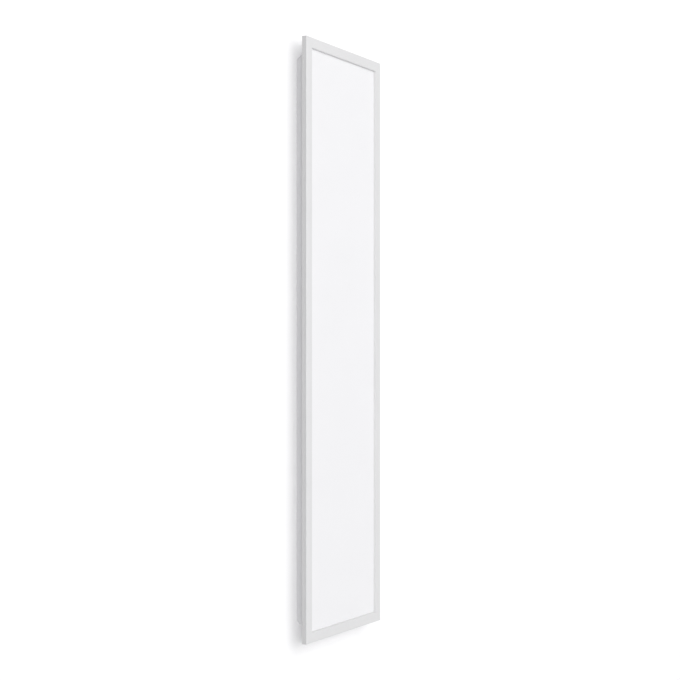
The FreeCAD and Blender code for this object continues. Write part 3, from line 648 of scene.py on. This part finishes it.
# ---------------------------------------------------------------- repeated pieces
class Field:
    """A Geometry Nodes tree that puts a copy of one part on every point of a mesh."""

    def __init__(self) -> None:
        """Builds the tree."""
        self.tree = bpy.data.node_groups.new("part_on_every_point", "GeometryNodeTree")
        interface = self.tree.interface
        sockets = (("Places", "NodeSocketGeometry"), ("Part", "NodeSocketObject"),
                   ("Turn", "NodeSocketVector"), ("Spin", "NodeSocketFloat"),
                   ("Seed", "NodeSocketInt"), ("Finish", "NodeSocketMaterial"))
        self.ids = {name: interface.new_socket(name=name, in_out="INPUT", socket_type=kind).identifier
                    for name, kind in sockets}
        interface.new_socket(name="Parts", in_out="OUTPUT", socket_type="NodeSocketGeometry")
        given = add_node(self.tree, "NodeGroupInput")
        part = add_node(self.tree, "GeometryNodeObjectInfo", {"Object": given.outputs["Part"]})
        copies = add_node(self.tree, "GeometryNodeInstanceOnPoints", {
            "Points": given.outputs["Places"], "Instance": part.outputs["Geometry"],
            "Rotation": given.outputs["Turn"]})
        angle = add_node(self.tree, "FunctionNodeRandomValue", {"Seed": given.outputs["Seed"]},
                         data_type="FLOAT")
        # input 3 and output 1 are the node's greatest and random numbers, among sockets of the same name
        self.tree.links.new(given.outputs["Spin"], angle.inputs[3])
        about_axis = add_node(self.tree, "ShaderNodeCombineXYZ", {"Z": angle.outputs[1]})
        spun = add_node(self.tree, "GeometryNodeRotateInstances", {
            "Instances": copies.outputs["Instances"], "Rotation": about_axis.outputs["Vector"]})
        solid = add_node(self.tree, "GeometryNodeRealizeInstances", {"Geometry": spun.outputs["Instances"]})
        done = add_node(self.tree, "GeometryNodeSetMaterial", {
            "Geometry": solid.outputs["Geometry"], "Material": given.outputs["Finish"]})
        add_node(self.tree, "NodeGroupOutput", {"Parts": done.outputs["Geometry"]})

    def make(self, name: str, part: bpy.types.Mesh, places: Sequence[Vector], facing: Facing,
             material: bpy.types.Material, spin: float = 0.0, seed: int = 1) -> bpy.types.Object:
        """Copies the part to every place as one plain mesh.

        Args:
            name: Name of the piece.
            part: The part, standing along Z.
            places: Where the part's origin goes.
            facing: Where the part's Z axis points.
            material: Finish of the copies.
            spin: Largest random turn about the part's axis, in radians.
            seed: Seed of those turns.

        Returns:
            The piece, at the origin.
        """
        master = to_object(part, name + "_part")
        points = bpy.data.meshes.new(name + "_places")
        points.from_pydata([tuple(p) for p in places], [], [])
        carrier = to_object(points, name + "_carrier")
        turn = Vector(facing.value).to_track_quat("Z", "Y").to_euler()
        modifier = carrier.modifiers.new("field", "NODES")
        modifier.node_group = self.tree
        values = {"Part": master, "Turn": tuple(turn), "Spin": spin, "Seed": seed, "Finish": material}
        for key, value in values.items():
            modifier[self.ids[key]] = value
        bpy.context.view_layer.update()
        result = finished_mesh(carrier)
        carrier.modifiers.clear()
        for used in (carrier, master):
            bpy.data.objects.remove(used, do_unlink=True)
        result.name = name
        return to_object(result, name)


@dataclass
class ScrewSet:
    """Pan-head cross-recess screws that stand for one CAD node."""

    node: str
    body: str
    head_height: float
    shank_radius: float
    pitch: float = 0.9 * MM
    segments: int = 38

    def build(self, field_tree: Field, material: bpy.types.Material, seed: int) -> bpy.types.Object:
        """Makes one screw from the solids' size and copies it to each solid's place.

        Args:
            field_tree: The tree that copies it.
            material: The screws' finish.
            seed: Seed of their random turns.

        Returns:
            The piece.
        """
        boxes = solid_boxes(self.node)
        low, high = boxes[0]
        part = self.screw((high.x - low.x) / 2, high.y - low.y - self.head_height)
        seats = middles(boxes, self.head_height)
        piece = field_tree.make(self.node + "_detailed", part, seats, Facing.BACK, material,
                                spin=math.pi / 2, seed=seed)
        settle(piece, self.body, [self.node])
        return piece

    def screw(self, head_radius: float, length: float) -> bpy.types.Mesh:
        """Makes one screw with a domed head, a cross recess and a threaded shank.

        Args:
            head_radius: Radius of the head.
            length: Length of the shank under the head.

        Returns:
            The screw's mesh. Its seat is at z = 0 and its head points along +Z.
        """
        crest, pitch, top = self.shank_radius, self.pitch, self.head_height
        root, tip = crest * 0.8, crest * 0.6
        profile = [(0.0, -length), (root * 0.35, -length)]
        for turn in range(int((length - crest) / pitch)):
            height = tip - length + turn * pitch
            profile += [(root, height), (root, height + pitch * 0.35), (crest, height + pitch * 0.6)]
        rim, shoulder, flat = 0.12 * top, 0.4 * top, 0.35 * head_radius
        profile += [(root, -rim), (root, 0.0), (head_radius * 0.96, 0.0),
                    (head_radius, rim), (head_radius, shoulder)]
        steps = 8
        for step in range(1, steps):
            turned = step / steps * math.pi / 2
            profile.append((flat + (head_radius - flat) * math.cos(turned),
                            shoulder + (top - shoulder) * math.sin(turned)))
        profile.append((0.0, top))
        solid = to_object(as_mesh(lathe(profile, self.segments), "screw"), "screw_blank")
        cutter = to_object(self.cross(head_radius), "screw_cross")
        cut = solid.modifiers.new("cross", "BOOLEAN")
        cut.object, cut.operation, cut.solver = cutter, "DIFFERENCE", "EXACT"
        result = finished_mesh(solid)
        for used in (solid, cutter):
            bpy.data.objects.remove(used, do_unlink=True)
        return result

    def cross(self, head_radius: float) -> bpy.types.Mesh:
        """Makes the tapered cross that cuts the recess.

        Args:
            head_radius: Radius of the head.

        Returns:
            The cross, which reaches past the top of the head.
        """
        half, reach = 0.17 * head_radius, 0.62 * head_radius
        depth, above, taper = 0.28 * self.head_height, 1.2 * self.head_height, 0.62
        arm = [Vector((reach, -half, 0)), Vector((reach, half, 0)), Vector((half, half, 0))]
        outline = [Matrix.Rotation(quarter * math.pi / 2, 3, "Z") @ corner
                   for quarter in range(4) for corner in arm]
        mesh = bmesh.new()
        lower = [mesh.verts.new((v.x * taper, v.y * taper, depth)) for v in outline]
        upper = [mesh.verts.new((v.x, v.y, above)) for v in outline]
        join_rings(mesh, (lower, upper))
        mesh.faces.new(upper)
        mesh.faces.new(lower[::-1])
        bmesh.ops.recalc_face_normals(mesh, faces=mesh.faces)
        return as_mesh(mesh, "cross")


@dataclass
class SoftenedPart:
    """A moulded or pressed part whose sharp CAD edges are rounded, as its tool leaves them.

    Edges that turn by more than sharp_above degrees are rounded. Faces that turn by less than flat_below
    degrees are one flat face.
    """

    node: str
    slot: str
    body: str
    radius: float
    segments: int = 2
    flat_below: float = 0.5
    sharp_above: float = 40.0

    def build(self, material: bpy.types.Material) -> bpy.types.Object:
        """Rounds a copy of the CAD node, which it then stands for.

        Args:
            material: The part's finish.

        Returns:
            The rounded piece.
        """
        shape = bmesh.new()
        shape.from_mesh(frame["nodes"][self.node].data)
        bmesh.ops.remove_doubles(shape, verts=shape.verts, dist=SAME_SPOT)
        bmesh.ops.dissolve_limit(shape, angle_limit=math.radians(self.flat_below),
                                 verts=shape.verts, edges=shape.edges)
        sharp = to_object(as_mesh(shape, self.node + "_sharp"), self.node + "_sharp")
        edges = sharp.modifiers.new("edges", "BEVEL")
        edges.width, edges.segments = self.radius, self.segments
        edges.limit_method, edges.angle_limit = "ANGLE", math.radians(self.sharp_above)
        edges.use_clamp_overlap = True
        normals = sharp.modifiers.new("normals", "WEIGHTED_NORMAL")
        normals.weight, normals.keep_sharp = 100, True
        mesh = finished_mesh(sharp)
        bpy.data.objects.remove(sharp, do_unlink=True)
        mesh.materials.clear()
        mesh.materials.append(material)
        piece = to_object(mesh, self.node + "_softened")
        settle(piece, self.body, [self.node])
        return piece


SCREWS = (
    ScrewSet("pan_screws", ROOT, head_height=1.7 * MM, shank_radius=1.3 * MM),
    ScrewSet("driver_screws", ROOT, head_height=2.0 * MM, shank_radius=1.6 * MM, pitch=1.2 * MM),
    ScrewSet("board_screws", ROOT, 1.2 * MM, 0.8 * MM, pitch=0.6 * MM, segments=26),
    ScrewSet("cord_clamp_screws", ROOT, 1.5 * MM, 1.0 * MM, pitch=0.7 * MM, segments=26),
    ScrewSet("mains_cover_screw", "mains_cover", head_height=1.6 * MM, shank_radius=1.4 * MM),
    ScrewSet("output_cover_screw", "output_cover", head_height=1.6 * MM, shank_radius=1.4 * MM),
)


# ---------------------------------------------------------------- sub-assemblies
@dataclass
class Frame:
    """The four mitred members and their corner keys."""

    members: tuple[str, ...] = ("frame_side_left", "frame_side_right", "frame_end_top", "frame_end_bottom")

    def dress(self, finishes: dict[str, bpy.types.Material]) -> None:
        """Paints the members and plates the keys."""
        dress(self.members, finishes["frame_enamel"])
        dress(["corner_keys"], finishes["zinc_steel"])


@dataclass
class Optics:
    """The diffuser plate and the reflector behind it."""

    def dress(self, finishes: dict[str, bpy.types.Material]) -> None:
        """Gives the plate and the film their plastics."""
        dress(["diffuser_plate"], finishes["opal_acrylic"])
        dress(["reflector_sheet"], finishes["reflector_film"])


@dataclass
class LightEngine:
    """LED boards with their packages, lenses, rivets, connectors and wires."""

    boards: tuple[str, ...] = ("led_board_left_upper", "led_board_left_lower",
                               "led_board_right_upper", "led_board_right_lower")
    well_radius: float = 1.15 * MM
    lens_foot: float = 0.8 * MM
    lens_rim: float = 1.2 * MM
    lens_dimple: float = 1.5 * MM
    lens_crown: float = 2.4 * MM
    pocket_radius: float = 2.6 * MM
    pocket_depth: float = 1.6 * MM
    foot_radius: float = 0.8 * MM
    feet_out: float = 0.74              # place of the feet, as a share of the lens's radius

    def dress(self, finishes: dict[str, bpy.types.Material]) -> None:
        """Gives each CAD node its finish.

        Args:
            finishes: Materials by slot.
        """
        dress(self.boards, finishes["board_mask"])
        dress(["board_rivets"], finishes["natural_nylon"])
        dress(["board_connectors"], finishes["connector_nylon"])
        dress(["feed_wires", "board_link_wires"], finishes["wire_pvc"])

    def packages(self, field_tree: Field, finishes: dict[str, bpy.types.Material]) -> None:
        """Builds the LED packages: a white housing round a well of phosphor.

        Args:
            field_tree: The tree that copies them.
            finishes: Materials by slot.
        """
        boxes = solid_boxes("led_packages")
        low, high = boxes[0]
        size, height = high.x - low.x, high.y - low.y
        housing = field_tree.make("led_package_housings", self.housing(size, height), middles(boxes),
                                  Facing.FRONT, finishes["connector_nylon"])
        settle(housing, ROOT, ["led_packages"])
        dots = field_tree.make("led_phosphor_wells", self.phosphor(height), middles(boxes),
                               Facing.FRONT, finishes["led_phosphor"])
        settle(dots, ROOT)

    def lenses(self, field_tree: Field, finishes: dict[str, bpy.types.Material]) -> None:
        """Builds the lenses, one over each package.

        Args:
            field_tree: The tree that copies them.
            finishes: Materials by slot.
        """
        nodes = [board.replace("board", "lenses") for board in self.boards]
        boxes = [box for node in nodes for box in solid_boxes(node)]
        low, high = boxes[0]
        lens = self.lens((high.x - low.x) / 2, high.y - low.y)
        piece = field_tree.make("led_lenses_turned", lens, middles(boxes), Facing.FRONT,
                                finishes["clear_acrylic"])
        settle(piece, ROOT, nodes)

    def lens(self, radius: float, height: float) -> bpy.types.Mesh:
        """A turned wide-beam lens on three feet, dimpled over the LED and hollowed under it.

        Args:
            radius: Radius of its rim.
            height: Its height off the board.

        Returns:
            The mesh, standing on z = 0.
        """
        base, shoulder = self.lens_foot, self.lens_foot + self.lens_rim
        hollow, depth, crown = self.pocket_radius, self.pocket_depth, self.lens_crown
        profile = [(0.0, base + depth), (hollow * 0.7, base + depth * 0.95), (hollow, base + depth * 0.6),
                   (hollow, base), (radius, base), (radius, shoulder)]
        steps = 8
        for step in range(1, steps + 1):
            turn = step / steps * math.pi / 2
            profile.append((crown + (radius - crown) * math.cos(turn),
                            shoulder + (height - shoulder) * math.sin(turn)))
        for share in (0.25, 0.5, 0.75):
            profile.append((crown * (1 - share), height - self.lens_dimple * share ** 1.4))
        profile.append((0.0, height - self.lens_dimple))
        shape = lathe(profile, 32)
        first_foot = 0.25               # of a turn, which puts it on the Y axis
        for x, y, _ in circle(3, self.feet_out * radius, 0.0, 3 * first_foot):
            foot = self.foot(base)
            foot.transform(Matrix.Translation((x, y, 0)))
            shape.from_mesh(foot)
            bpy.data.meshes.remove(foot)
        return as_mesh(shape, "lens")

    def foot(self, height: float) -> bpy.types.Mesh:
        """One foot of a lens, whose top is a little inside the lens.

        Args:
            height: How high the lens stands off the board.

        Returns:
            The mesh, standing on z = 0.
        """
        radius, top = self.foot_radius, height * 1.2
        profile = [(0.0, 0.0), (radius * 0.85, 0.0), (radius, height * 0.3), (radius, top), (0.0, top)]
        return as_mesh(lathe(profile, 12), "foot")

    def phosphor(self, height: float) -> bpy.types.Mesh:
        """The low dome of phosphor in a package.

        Args:
            height: The package's height off the board.

        Returns:
            The mesh, where it stands in the package.
        """
        radius, bottom = self.well_radius, height * 0.3
        profile = [(0.0, bottom), (radius, bottom), (radius, height * 0.8),
                   (radius * 0.7, height * 0.9), (0.0, height * 0.94)]
        return as_mesh(lathe(profile, 20), "well")

    def housing(self, size: float, height: float) -> bpy.types.Mesh:
        """A square housing with cut corners and a round well.

        Args:
            size: Side of the housing.
            height: Its height off the board.

        Returns:
            The mesh, standing on z = 0.
        """
        count, half = 32, size / 2
        corner_reach, draft = half * 1.28, 0.9
        rings = []
        for level, spread in ((0.0, 1.0), (height * 0.75, 1.0), (height, draft)):
            points = circle(count, 1.0, level, 0.5)
            reaches = [min(half / max(abs(x), abs(y)), corner_reach) * spread for x, y, _ in points]
            rings.append([(x * reach, y * reach, z) for (x, y, z), reach in zip(points, reaches)])
        rings.append(circle(count, self.well_radius * 1.15, height, 0.5))
        rings.append(circle(count, self.well_radius, height * 0.35, 0.5))
        mesh = bmesh.new()
        corners = [[mesh.verts.new(point) for point in points] for points in rings]
        join_rings(mesh, corners)
        mesh.faces.new(corners[0][::-1])
        mesh.faces.new(corners[-1])
        bmesh.ops.recalc_face_normals(mesh, faces=mesh.faces)
        return as_mesh(mesh, "housing")


@dataclass
class BackPan:
    """The pressed pan, its fixings and the lead that comes out of it."""

    def dress(self, finishes: dict[str, bpy.types.Material]) -> None:
        """Gives each CAD node its finish.

        Args:
            finishes: Materials by slot.
        """
        dress(["back_pan"], finishes["pan_enamel"])
        dress(["suspension_nuts"], finishes["zinc_steel"])
        dress(["lead_grommet"], finishes["grommet_rubber"])
        dress(["dc_lead"], finishes["lead_pvc"])
        dress(["dc_lead_cores"], finishes["wire_pvc"])


@dataclass
class Driver:
    """The driver's shells and everything inside them."""

    covers: tuple[str, ...] = ("mains_cover", "output_cover")
    terminals: tuple[str, ...] = ("mains_terminal", "output_terminal",
                                  "mains_cord_clamp", "output_cord_clamp")
    buttons: tuple[str, ...] = ("mains_release_live", "mains_release_neutral",
                                "output_release_positive", "output_release_negative")
    case_radius: float = 0.35 * MM
    fine_radius: float = 0.25 * MM      # less than half of the lid grooves' depth
    button_radius: float = 0.2 * MM

    def build(self, finishes: dict[str, bpy.types.Material]) -> None:
        """Rounds the mouldings and dresses what stays as the CAD has it.

        Args:
            finishes: Materials by slot.
        """
        parts = [SoftenedPart("driver_case", "case_polycarbonate", ROOT, self.case_radius),
                 SoftenedPart("driver_lid", "case_polycarbonate", ROOT, self.fine_radius),
                 SoftenedPart("driver_transformer", "ferrite", ROOT, self.fine_radius)]
        parts += [SoftenedPart(name, "case_polycarbonate", name, self.fine_radius) for name in self.covers]
        parts += [SoftenedPart(name, "terminal_nylon", ROOT, self.fine_radius) for name in self.terminals]
        parts += [SoftenedPart(name, "button_nylon", name, self.button_radius) for name in self.buttons]
        for part in parts:
            part.build(finishes[part.slot])
        dress(["driver_board"], finishes["glass_epoxy"])
        dress(["bulk_capacitor", "filter_capacitors"], finishes["capacitor_sleeve"])
        dress(["line_choke"], finishes["enamelled_copper"])
        dress(["heat_sink"], finishes["bare_aluminium"])


# ---------------------------------------------------------------- studio
class Lie(Enum):
    """The way that a flat sheet of the studio lies."""

    LEVEL = "faces up"
    UPRIGHT = "faces -Y"


@dataclass(frozen=True)
class Sun:
    """Even soft light from far away.

    source is the direction that the light comes from, strength is in watts per square metre, and spread is
    the angle that it fills, in degrees.
    """

    name: str
    source: Point
    strength: float
    spread: float

    def build(self) -> None:
        """Adds the light to the scene."""
        data = bpy.data.lights.new(self.name, "SUN")
        data.energy, data.angle = self.strength, math.radians(self.spread)
        light = bpy.data.objects.new(self.name, data)
        light.rotation_euler = Vector(self.source).to_track_quat("Z", "Y").to_euler()
        bpy.context.scene.collection.objects.link(light)


@dataclass
class Studio:
    """A pale floor and wall, soft light and the camera."""

    lens_mm: float = 71.8
    camera_place: Point = (-2.392, -1.4635, -0.0402)
    camera_turn: float = -58.934
    camera_shift: float = 0.0302
    reach: float = 14.0                 # half size of the floor and the wall
    wall_inset: float = 0.2 * MM
    wall_hole_margin: float = 45 * MM   # from the object's outline in to the hole
    floor_drop: float = 0.75
    floor_colour: str = "#e0e0e0"
    wall_colour: str = "#fdfdfd"
    sky_colour: str = "#f3f2f6"
    sky_strength: float = 0.36
    suns: tuple[Sun, ...] = (
        Sun("key", (0.0, -1.0, 0.17), 2.46, 105.0),
        Sun("fill", (-0.8, -0.6, 0.12), 0.78, 25.0),
        Sun("rear", (0.7, 0.5, 0.55), 1.35, 12.0),
    )

    def build(self) -> None:
        """Makes everything that isn't the object."""
        self.camera()
        self.floor_and_wall()
        self.sky()
        for sun in self.suns:
            sun.build()

    def camera(self) -> None:
        """Level camera to the left of the panel, in front of it."""
        data = bpy.data.cameras.new("camera")
        data.lens, data.sensor_width, data.shift_y = self.lens_mm, 36.0, self.camera_shift
        camera = bpy.data.objects.new("camera", data)
        camera.location = self.camera_place
        camera.rotation_euler = (math.radians(90), 0, math.radians(self.camera_turn))
        bpy.context.scene.collection.objects.link(camera)
        bpy.context.scene.camera = camera

    def floor_and_wall(self) -> None:
        """Stages the floor, and a wall that is seen only from the front and casts nothing on the object."""
        half = (self.reach, self.reach)
        floor = self.sheet("floor", (0, 0, CAD_BOX[0].z - self.floor_drop), half, (0, 0), Lie.LEVEL)
        floor.data.materials.append(self.paper("pale_studio_floor", self.floor_colour, False))
        hole = (CAD_BOX[1].x - self.wall_hole_margin, CAD_BOX[1].z - self.wall_hole_margin)
        wall = self.sheet("wall", (0, -self.wall_inset, 0), half, hole, Lie.UPRIGHT)
        wall.data.materials.append(self.paper("pale_studio_wall", self.wall_colour, True))
        wall.visible_diffuse = wall.visible_shadow = False

    def sheet(self, name: str, centre: Point, outer: tuple[float, float], hole: tuple[float, float],
              lie: Lie) -> bpy.types.Object:
        """A flat sheet, with a hole in its middle that an object can stand through.

        Args:
            name: Name of the sheet.
            centre: Its centre.
            outer: Half sizes of the sheet.
            hole: Half sizes of the hole, or zeros for none.
            lie: The way that it lies.

        Returns:
            The sheet.
        """
        signs = ((-1, -1), (1, -1), (1, 1), (-1, 1))
        outlines = (outer, hole) if any(hole) else (outer,)
        flat = [(u * half[0], v * half[1]) for half in outlines for u, v in signs]
        spots = [Vector((u, v, 0) if lie is Lie.LEVEL else (u, 0, v)) + Vector(centre) for u, v in flat]
        faces = [(0, 1, 2, 3)]
        if any(hole):
            faces = [(k, (k + 1) % 4, (k + 1) % 4 + 4, k + 4) for k in range(4)]
        mesh = bpy.data.meshes.new(name)
        mesh.from_pydata([tuple(p) for p in spots], [], faces)
        return to_object(mesh, name)

    def paper(self, name: str, code: str, one_sided: bool) -> bpy.types.Material:
        """Matt studio paper, which may be clear from behind.

        Args:
            name: Name of the material.
            code: Its hex colour.
            one_sided: Whether it is clear from behind.

        Returns:
            The material.
        """
        material = bpy.data.materials.new(name)
        material.use_nodes = True
        tree = material.node_tree
        tree.nodes.clear()
        surface = add_node(tree, "ShaderNodeBsdfDiffuse", {"Color": linear(code)}).outputs["BSDF"]
        if one_sided:
            clear = add_node(tree, "ShaderNodeBsdfTransparent")
            side = add_node(tree, "ShaderNodeNewGeometry").outputs["Backfacing"]
            surface = add_node(tree, "ShaderNodeMixShader", {
                "Fac": side, 1: surface, 2: clear.outputs["BSDF"]}).outputs["Shader"]
        add_node(tree, "ShaderNodeOutputMaterial", {"Surface": surface})
        return material

    def sky(self) -> None:
        """A pale, even sky, shown as it is, with no film curve."""
        scene = bpy.context.scene
        scene.view_settings.view_transform = "Standard"
        scene.world = bpy.data.worlds.new("sky")
        scene.world.use_nodes = True
        tree = scene.world.node_tree
        tree.nodes.clear()
        light = add_node(tree, "ShaderNodeBackground", {
            "Color": linear(self.sky_colour), "Strength": self.sky_strength})
        add_node(tree, "ShaderNodeOutputWorld", {"Surface": light.outputs["Background"]})


def main() -> None:
    """Builds the studio, the finishes and every sub-assembly, in that order."""
    logging.basicConfig(level=logging.INFO, format="%(name)s: %(message)s")
    Studio().build()
    finishes = {slot: finish.build() for slot, finish in FINISHES.items()}
    field_tree = Field()
    Frame().dress(finishes)
    Optics().dress(finishes)
    engine = LightEngine()
    engine.dress(finishes)
    engine.packages(field_tree, finishes)
    engine.lenses(field_tree, finishes)
    BackPan().dress(finishes)
    Driver().build(finishes)
    for seed, screw_set in enumerate(SCREWS, start=3):
        screw_set.build(field_tree, finishes["zinc_steel"], seed)


if __name__ == "__main__":
    main()
